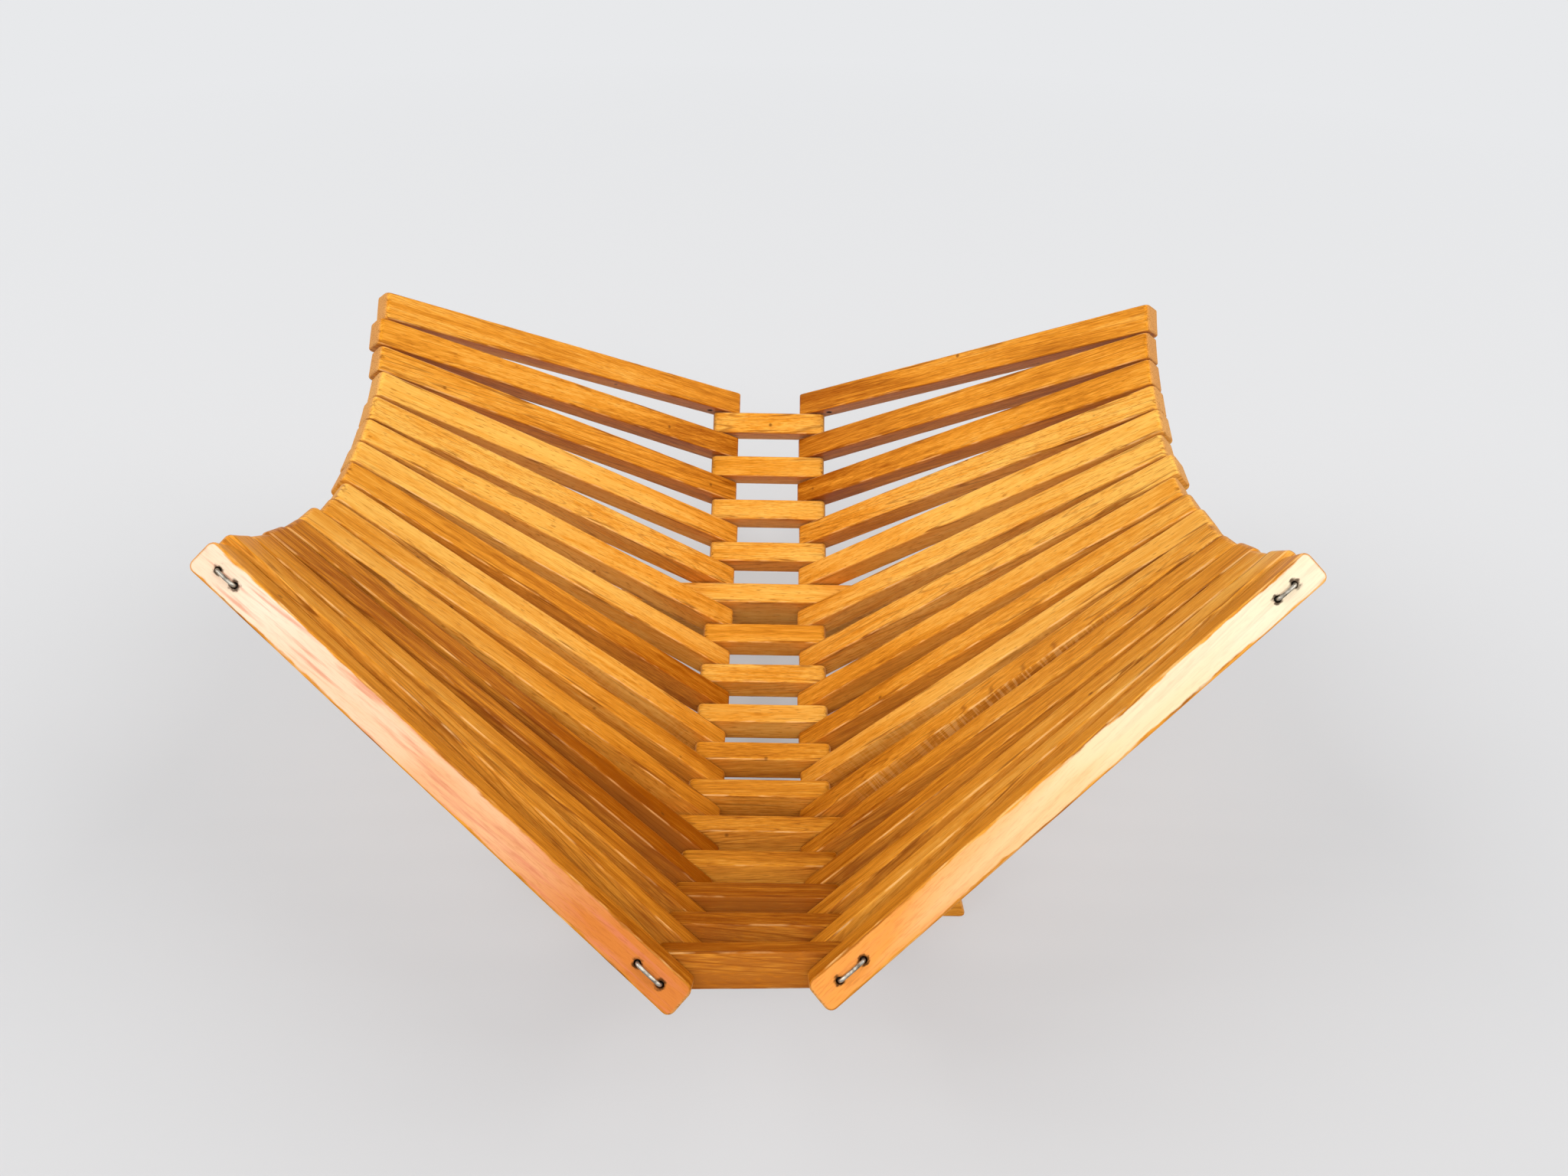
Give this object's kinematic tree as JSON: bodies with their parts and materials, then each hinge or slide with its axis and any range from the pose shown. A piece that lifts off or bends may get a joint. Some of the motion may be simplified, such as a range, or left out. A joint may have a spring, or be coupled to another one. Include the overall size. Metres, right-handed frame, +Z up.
{
  "type": "collapsible basket",
  "caption": "Open wooden basket of slats hinged on steel wires: two sloping wings of long slats, short slats along the bottom, two foot boards. It closes by folding the wings up.",
  "frame": {"origin": "on the ground under the middle of the basket, as it stands open", "axes": "+X across the basket towards the right wing, +Y along the row of slats to the back, +Z up"},
  "size_m": [0.2832, 0.3032, 0.1513],
  "materials": {
    "wing_beech": "oiled, satin",
    "centre_beech": "oiled, satin",
    "foot_beech": "oiled, satin",
    "steel_wire": "bright drawn steel"
  },
  "bodies": {
    "centre_slat_08": {"centre_slat_08": "centre_beech", "inner_wire_left": "steel_wire", "inner_wire_right": "steel_wire"},
    "centre_slat_07": {"centre_slat_07": "centre_beech"},
    "centre_slat_06": {"centre_slat_06": "centre_beech"},
    "foot_board_back": {"foot_board_back": "foot_beech"},
    "centre_slat_04": {"centre_slat_04": "centre_beech"},
    "centre_slat_03": {"centre_slat_03": "centre_beech"},
    "centre_slat_02": {"centre_slat_02": "centre_beech"},
    "centre_slat_01": {"centre_slat_01": "centre_beech"},
    "centre_slat_09": {"centre_slat_09": "centre_beech"},
    "centre_slat_10": {"centre_slat_10": "centre_beech"},
    "foot_board_front": {"foot_board_front": "foot_beech"},
    "centre_slat_12": {"centre_slat_12": "centre_beech"},
    "centre_slat_13": {"centre_slat_13": "centre_beech"},
    "centre_slat_14": {"centre_slat_14": "centre_beech"},
    "centre_slat_15": {"centre_slat_15": "centre_beech"},
    "left_slat_01": {"left_slat_01": "wing_beech"},
    "left_slat_02": {"left_slat_02": "wing_beech"},
    "left_slat_03": {"left_slat_03": "wing_beech"},
    "left_slat_04": {"left_slat_04": "wing_beech"},
    "left_slat_05": {"left_slat_05": "wing_beech"},
    "left_slat_06": {"left_slat_06": "wing_beech"},
    "left_slat_07": {"left_slat_07": "wing_beech"},
    "left_slat_08": {"left_slat_08": "wing_beech", "outer_wire_left": "steel_wire"},
    "left_slat_09": {"left_slat_09": "wing_beech"},
    "left_slat_10": {"left_slat_10": "wing_beech"},
    "left_slat_11": {"left_slat_11": "wing_beech"},
    "left_slat_12": {"left_slat_12": "wing_beech"},
    "left_slat_13": {"left_slat_13": "wing_beech"},
    "left_slat_14": {"left_slat_14": "wing_beech"},
    "left_slat_15": {"left_slat_15": "wing_beech"},
    "left_slat_16": {"left_slat_16": "wing_beech"},
    "right_slat_01": {"right_slat_01": "wing_beech"},
    "right_slat_02": {"right_slat_02": "wing_beech"},
    "right_slat_03": {"right_slat_03": "wing_beech"},
    "right_slat_04": {"right_slat_04": "wing_beech"},
    "right_slat_05": {"right_slat_05": "wing_beech"},
    "right_slat_06": {"right_slat_06": "wing_beech"},
    "right_slat_07": {"right_slat_07": "wing_beech"},
    "right_slat_08": {"right_slat_08": "wing_beech", "outer_wire_right": "steel_wire"},
    "right_slat_09": {"right_slat_09": "wing_beech"},
    "right_slat_10": {"right_slat_10": "wing_beech"},
    "right_slat_11": {"right_slat_11": "wing_beech"},
    "right_slat_12": {"right_slat_12": "wing_beech"},
    "right_slat_13": {"right_slat_13": "wing_beech"},
    "right_slat_14": {"right_slat_14": "wing_beech"},
    "right_slat_15": {"right_slat_15": "wing_beech"},
    "right_slat_16": {"right_slat_16": "wing_beech"}
  },
  "joints": [
    {"name": "centre_slat_07_hinge", "type": "hinge", "parent": "centre_slat_08", "child": "centre_slat_07", "pos_m": [0, 0.0106, 0.01617], "axis": [-1, 0, 0], "range_deg": [0, 3.05]},
    {"name": "centre_slat_06_hinge", "type": "hinge", "parent": "centre_slat_07", "child": "centre_slat_06", "pos_m": [0, 0.03168, 0.01829], "axis": [-1, 0, 0], "range_deg": [0, 3.05]},
    {"name": "foot_board_back_hinge", "type": "hinge", "parent": "centre_slat_06", "child": "foot_board_back", "pos_m": [0, 0.05244, 0.02253], "axis": [-1, 0, 0], "range_deg": [0, 3.05]},
    {"name": "centre_slat_04_hinge", "type": "hinge", "parent": "foot_board_back", "child": "centre_slat_04", "pos_m": [0, 0.07268, 0.02882], "axis": [-1, 0, 0], "range_deg": [0, 3.05]},
    {"name": "centre_slat_03_hinge", "type": "hinge", "parent": "centre_slat_04", "child": "centre_slat_03", "pos_m": [0, 0.09218, 0.03712], "axis": [-1, 0, 0], "range_deg": [0, 3.05]},
    {"name": "centre_slat_02_hinge", "type": "hinge", "parent": "centre_slat_03", "child": "centre_slat_02", "pos_m": [0, 0.11075, 0.04732], "axis": [-1, 0, 0], "range_deg": [0, 3.05]},
    {"name": "centre_slat_01_hinge", "type": "hinge", "parent": "centre_slat_02", "child": "centre_slat_01", "pos_m": [0, 0.1282, 0.05935], "axis": [-1, 0, 0], "range_deg": [0, 3.05]},
    {"name": "centre_slat_09_hinge", "type": "hinge", "parent": "centre_slat_08", "child": "centre_slat_09", "pos_m": [0, -0.0106, 0.01617], "axis": [1, 0, 0], "range_deg": [0, 3.05]},
    {"name": "centre_slat_10_hinge", "type": "hinge", "parent": "centre_slat_09", "child": "centre_slat_10", "pos_m": [0, -0.03168, 0.01829], "axis": [1, 0, 0], "range_deg": [0, 3.05]},
    {"name": "foot_board_front_hinge", "type": "hinge", "parent": "centre_slat_10", "child": "foot_board_front", "pos_m": [0, -0.05244, 0.02253], "axis": [1, 0, 0], "range_deg": [0, 3.05]},
    {"name": "centre_slat_12_hinge", "type": "hinge", "parent": "foot_board_front", "child": "centre_slat_12", "pos_m": [0, -0.07268, 0.02882], "axis": [1, 0, 0], "range_deg": [0, 3.05]},
    {"name": "centre_slat_13_hinge", "type": "hinge", "parent": "centre_slat_12", "child": "centre_slat_13", "pos_m": [0, -0.09218, 0.03712], "axis": [1, 0, 0], "range_deg": [0, 3.05]},
    {"name": "centre_slat_14_hinge", "type": "hinge", "parent": "centre_slat_13", "child": "centre_slat_14", "pos_m": [0, -0.11075, 0.04732], "axis": [1, 0, 0], "range_deg": [0, 3.05]},
    {"name": "centre_slat_15_hinge", "type": "hinge", "parent": "centre_slat_14", "child": "centre_slat_15", "pos_m": [0, -0.1282, 0.05935], "axis": [1, 0, 0], "range_deg": [0, 3.05]},
    {"name": "left_slat_01_hinge", "type": "hinge", "parent": "centre_slat_01", "child": "left_slat_01", "pos_m": [-0.021, 0.14436, 0.07306], "axis": [-0.0258, 0.7377, 0.6746], "range_deg": [0, 54.5]},
    {"name": "left_slat_02_hinge", "type": "hinge", "parent": "centre_slat_02", "child": "left_slat_02", "pos_m": [-0.021, 0.1282, 0.05935], "axis": [-0.0258, 0.8017, 0.5971], "range_deg": [0, 54.5]},
    {"name": "left_slat_03_hinge", "type": "hinge", "parent": "centre_slat_03", "child": "left_slat_03", "pos_m": [-0.021, 0.11075, 0.04732], "axis": [-0.0258, 0.8576, 0.5137], "range_deg": [0, 54.5]},
    {"name": "left_slat_04_hinge", "type": "hinge", "parent": "centre_slat_04", "child": "left_slat_04", "pos_m": [-0.021, 0.09218, 0.03712], "axis": [-0.0258, 0.9048, 0.425], "range_deg": [0, 54.5]},
    {"name": "left_slat_05_hinge", "type": "hinge", "parent": "foot_board_back", "child": "left_slat_05", "pos_m": [-0.021, 0.07268, 0.02882], "axis": [-0.0258, 0.9429, 0.332], "range_deg": [0, 54.5]},
    {"name": "left_slat_06_hinge", "type": "hinge", "parent": "centre_slat_06", "child": "left_slat_06", "pos_m": [-0.021, 0.05244, 0.02253], "axis": [-0.0258, 0.9715, 0.2357], "range_deg": [0, 54.5]},
    {"name": "left_slat_07_hinge", "type": "hinge", "parent": "centre_slat_07", "child": "left_slat_07", "pos_m": [-0.021, 0.03168, 0.01829], "axis": [-0.0258, 0.9902, 0.137], "range_deg": [0, 54.5]},
    {"name": "left_slat_08_hinge", "type": "hinge", "parent": "centre_slat_08", "child": "left_slat_08", "pos_m": [-0.021, 0.0106, 0.01617], "axis": [-0.0258, 0.999, 0.0369], "range_deg": [0, 54.5], "deforming": ["inner_wire_left", "inner_wire_right", "outer_wire_left", "outer_wire_right"]},
    {"name": "left_slat_09_hinge", "type": "hinge", "parent": "centre_slat_08", "child": "left_slat_09", "pos_m": [-0.021, -0.0106, 0.01617], "axis": [0.0258, 0.999, -0.0369], "range_deg": [0, 54.5]},
    {"name": "left_slat_10_hinge", "type": "hinge", "parent": "centre_slat_09", "child": "left_slat_10", "pos_m": [-0.021, -0.03168, 0.01829], "axis": [0.0258, 0.9902, -0.137], "range_deg": [0, 54.5]},
    {"name": "left_slat_11_hinge", "type": "hinge", "parent": "centre_slat_10", "child": "left_slat_11", "pos_m": [-0.021, -0.05244, 0.02253], "axis": [0.0258, 0.9715, -0.2357], "range_deg": [0, 54.5]},
    {"name": "left_slat_12_hinge", "type": "hinge", "parent": "foot_board_front", "child": "left_slat_12", "pos_m": [-0.021, -0.07268, 0.02882], "axis": [0.0258, 0.9429, -0.332], "range_deg": [0, 54.5]},
    {"name": "left_slat_13_hinge", "type": "hinge", "parent": "centre_slat_12", "child": "left_slat_13", "pos_m": [-0.021, -0.09218, 0.03712], "axis": [0.0258, 0.9048, -0.425], "range_deg": [0, 54.5]},
    {"name": "left_slat_14_hinge", "type": "hinge", "parent": "centre_slat_13", "child": "left_slat_14", "pos_m": [-0.021, -0.11075, 0.04732], "axis": [0.0258, 0.8576, -0.5137], "range_deg": [0, 54.5]},
    {"name": "left_slat_15_hinge", "type": "hinge", "parent": "centre_slat_14", "child": "left_slat_15", "pos_m": [-0.021, -0.1282, 0.05935], "axis": [0.0258, 0.8017, -0.5971], "range_deg": [0, 54.5]},
    {"name": "left_slat_16_hinge", "type": "hinge", "parent": "centre_slat_15", "child": "left_slat_16", "pos_m": [-0.021, -0.14436, 0.07306], "axis": [0.0258, 0.7377, -0.6746], "range_deg": [0, 54.5]},
    {"name": "right_slat_01_hinge", "type": "hinge", "parent": "centre_slat_01", "child": "right_slat_01", "pos_m": [0.021, 0.14436, 0.07306], "axis": [-0.0258, -0.7377, -0.6746], "range_deg": [0, 54.5]},
    {"name": "right_slat_02_hinge", "type": "hinge", "parent": "centre_slat_02", "child": "right_slat_02", "pos_m": [0.021, 0.1282, 0.05935], "axis": [-0.0258, -0.8017, -0.5971], "range_deg": [0, 54.5]},
    {"name": "right_slat_03_hinge", "type": "hinge", "parent": "centre_slat_03", "child": "right_slat_03", "pos_m": [0.021, 0.11075, 0.04732], "axis": [-0.0258, -0.8576, -0.5137], "range_deg": [0, 54.5]},
    {"name": "right_slat_04_hinge", "type": "hinge", "parent": "centre_slat_04", "child": "right_slat_04", "pos_m": [0.021, 0.09218, 0.03712], "axis": [-0.0258, -0.9048, -0.425], "range_deg": [0, 54.5]},
    {"name": "right_slat_05_hinge", "type": "hinge", "parent": "foot_board_back", "child": "right_slat_05", "pos_m": [0.021, 0.07268, 0.02882], "axis": [-0.0258, -0.9429, -0.332], "range_deg": [0, 54.5]},
    {"name": "right_slat_06_hinge", "type": "hinge", "parent": "centre_slat_06", "child": "right_slat_06", "pos_m": [0.021, 0.05244, 0.02253], "axis": [-0.0258, -0.9715, -0.2357], "range_deg": [0, 54.5]},
    {"name": "right_slat_07_hinge", "type": "hinge", "parent": "centre_slat_07", "child": "right_slat_07", "pos_m": [0.021, 0.03168, 0.01829], "axis": [-0.0258, -0.9902, -0.137], "range_deg": [0, 54.5]},
    {"name": "right_slat_08_hinge", "type": "hinge", "parent": "centre_slat_08", "child": "right_slat_08", "pos_m": [0.021, 0.0106, 0.01617], "axis": [-0.0258, -0.999, -0.0369], "range_deg": [0, 54.5]},
    {"name": "right_slat_09_hinge", "type": "hinge", "parent": "centre_slat_08", "child": "right_slat_09", "pos_m": [0.021, -0.0106, 0.01617], "axis": [0.0258, -0.999, 0.0369], "range_deg": [0, 54.5]},
    {"name": "right_slat_10_hinge", "type": "hinge", "parent": "centre_slat_09", "child": "right_slat_10", "pos_m": [0.021, -0.03168, 0.01829], "axis": [0.0258, -0.9902, 0.137], "range_deg": [0, 54.5]},
    {"name": "right_slat_11_hinge", "type": "hinge", "parent": "centre_slat_10", "child": "right_slat_11", "pos_m": [0.021, -0.05244, 0.02253], "axis": [0.0258, -0.9715, 0.2357], "range_deg": [0, 54.5]},
    {"name": "right_slat_12_hinge", "type": "hinge", "parent": "foot_board_front", "child": "right_slat_12", "pos_m": [0.021, -0.07268, 0.02882], "axis": [0.0258, -0.9429, 0.332], "range_deg": [0, 54.5]},
    {"name": "right_slat_13_hinge", "type": "hinge", "parent": "centre_slat_12", "child": "right_slat_13", "pos_m": [0.021, -0.09218, 0.03712], "axis": [0.0258, -0.9048, 0.425], "range_deg": [0, 54.5]},
    {"name": "right_slat_14_hinge", "type": "hinge", "parent": "centre_slat_13", "child": "right_slat_14", "pos_m": [0.021, -0.11075, 0.04732], "axis": [0.0258, -0.8576, 0.5137], "range_deg": [0, 54.5]},
    {"name": "right_slat_15_hinge", "type": "hinge", "parent": "centre_slat_14", "child": "right_slat_15", "pos_m": [0.021, -0.1282, 0.05935], "axis": [0.0258, -0.8017, 0.5971], "range_deg": [0, 54.5]},
    {"name": "right_slat_16_hinge", "type": "hinge", "parent": "centre_slat_15", "child": "right_slat_16", "pos_m": [0.021, -0.14436, 0.07306], "axis": [0.0258, -0.7377, 0.6746], "range_deg": [0, 54.5]}
  ],
  "couplings": [
    {"joint": "centre_slat_07_hinge", "follows": "left_slat_08_hinge", "ratio": 0.055963},
    {"joint": "centre_slat_06_hinge", "follows": "left_slat_08_hinge", "ratio": 0.055963},
    {"joint": "foot_board_back_hinge", "follows": "left_slat_08_hinge", "ratio": 0.055963},
    {"joint": "centre_slat_04_hinge", "follows": "left_slat_08_hinge", "ratio": 0.055963},
    {"joint": "centre_slat_03_hinge", "follows": "left_slat_08_hinge", "ratio": 0.055963},
    {"joint": "centre_slat_02_hinge", "follows": "left_slat_08_hinge", "ratio": 0.055963},
    {"joint": "centre_slat_01_hinge", "follows": "left_slat_08_hinge", "ratio": 0.055963},
    {"joint": "centre_slat_09_hinge", "follows": "left_slat_08_hinge", "ratio": 0.055963},
    {"joint": "centre_slat_10_hinge", "follows": "left_slat_08_hinge", "ratio": 0.055963},
    {"joint": "foot_board_front_hinge", "follows": "left_slat_08_hinge", "ratio": 0.055963},
    {"joint": "centre_slat_12_hinge", "follows": "left_slat_08_hinge", "ratio": 0.055963},
    {"joint": "centre_slat_13_hinge", "follows": "left_slat_08_hinge", "ratio": 0.055963},
    {"joint": "centre_slat_14_hinge", "follows": "left_slat_08_hinge", "ratio": 0.055963},
    {"joint": "centre_slat_15_hinge", "follows": "left_slat_08_hinge", "ratio": 0.055963},
    {"joint": "left_slat_01_hinge", "follows": "left_slat_08_hinge", "ratio": 1},
    {"joint": "left_slat_02_hinge", "follows": "left_slat_08_hinge", "ratio": 1},
    {"joint": "left_slat_03_hinge", "follows": "left_slat_08_hinge", "ratio": 1},
    {"joint": "left_slat_04_hinge", "follows": "left_slat_08_hinge", "ratio": 1},
    {"joint": "left_slat_05_hinge", "follows": "left_slat_08_hinge", "ratio": 1},
    {"joint": "left_slat_06_hinge", "follows": "left_slat_08_hinge", "ratio": 1},
    {"joint": "left_slat_07_hinge", "follows": "left_slat_08_hinge", "ratio": 1},
    {"joint": "left_slat_09_hinge", "follows": "left_slat_08_hinge", "ratio": 1},
    {"joint": "left_slat_10_hinge", "follows": "left_slat_08_hinge", "ratio": 1},
    {"joint": "left_slat_11_hinge", "follows": "left_slat_08_hinge", "ratio": 1},
    {"joint": "left_slat_12_hinge", "follows": "left_slat_08_hinge", "ratio": 1},
    {"joint": "left_slat_13_hinge", "follows": "left_slat_08_hinge", "ratio": 1},
    {"joint": "left_slat_14_hinge", "follows": "left_slat_08_hinge", "ratio": 1},
    {"joint": "left_slat_15_hinge", "follows": "left_slat_08_hinge", "ratio": 1},
    {"joint": "left_slat_16_hinge", "follows": "left_slat_08_hinge", "ratio": 1},
    {"joint": "right_slat_01_hinge", "follows": "left_slat_08_hinge", "ratio": 1},
    {"joint": "right_slat_02_hinge", "follows": "left_slat_08_hinge", "ratio": 1},
    {"joint": "right_slat_03_hinge", "follows": "left_slat_08_hinge", "ratio": 1},
    {"joint": "right_slat_04_hinge", "follows": "left_slat_08_hinge", "ratio": 1},
    {"joint": "right_slat_05_hinge", "follows": "left_slat_08_hinge", "ratio": 1},
    {"joint": "right_slat_06_hinge", "follows": "left_slat_08_hinge", "ratio": 1},
    {"joint": "right_slat_07_hinge", "follows": "left_slat_08_hinge", "ratio": 1},
    {"joint": "right_slat_08_hinge", "follows": "left_slat_08_hinge", "ratio": 1},
    {"joint": "right_slat_09_hinge", "follows": "left_slat_08_hinge", "ratio": 1},
    {"joint": "right_slat_10_hinge", "follows": "left_slat_08_hinge", "ratio": 1},
    {"joint": "right_slat_11_hinge", "follows": "left_slat_08_hinge", "ratio": 1},
    {"joint": "right_slat_12_hinge", "follows": "left_slat_08_hinge", "ratio": 1},
    {"joint": "right_slat_13_hinge", "follows": "left_slat_08_hinge", "ratio": 1},
    {"joint": "right_slat_14_hinge", "follows": "left_slat_08_hinge", "ratio": 1},
    {"joint": "right_slat_15_hinge", "follows": "left_slat_08_hinge", "ratio": 1},
    {"joint": "right_slat_16_hinge", "follows": "left_slat_08_hinge", "ratio": 1}
  ]
}
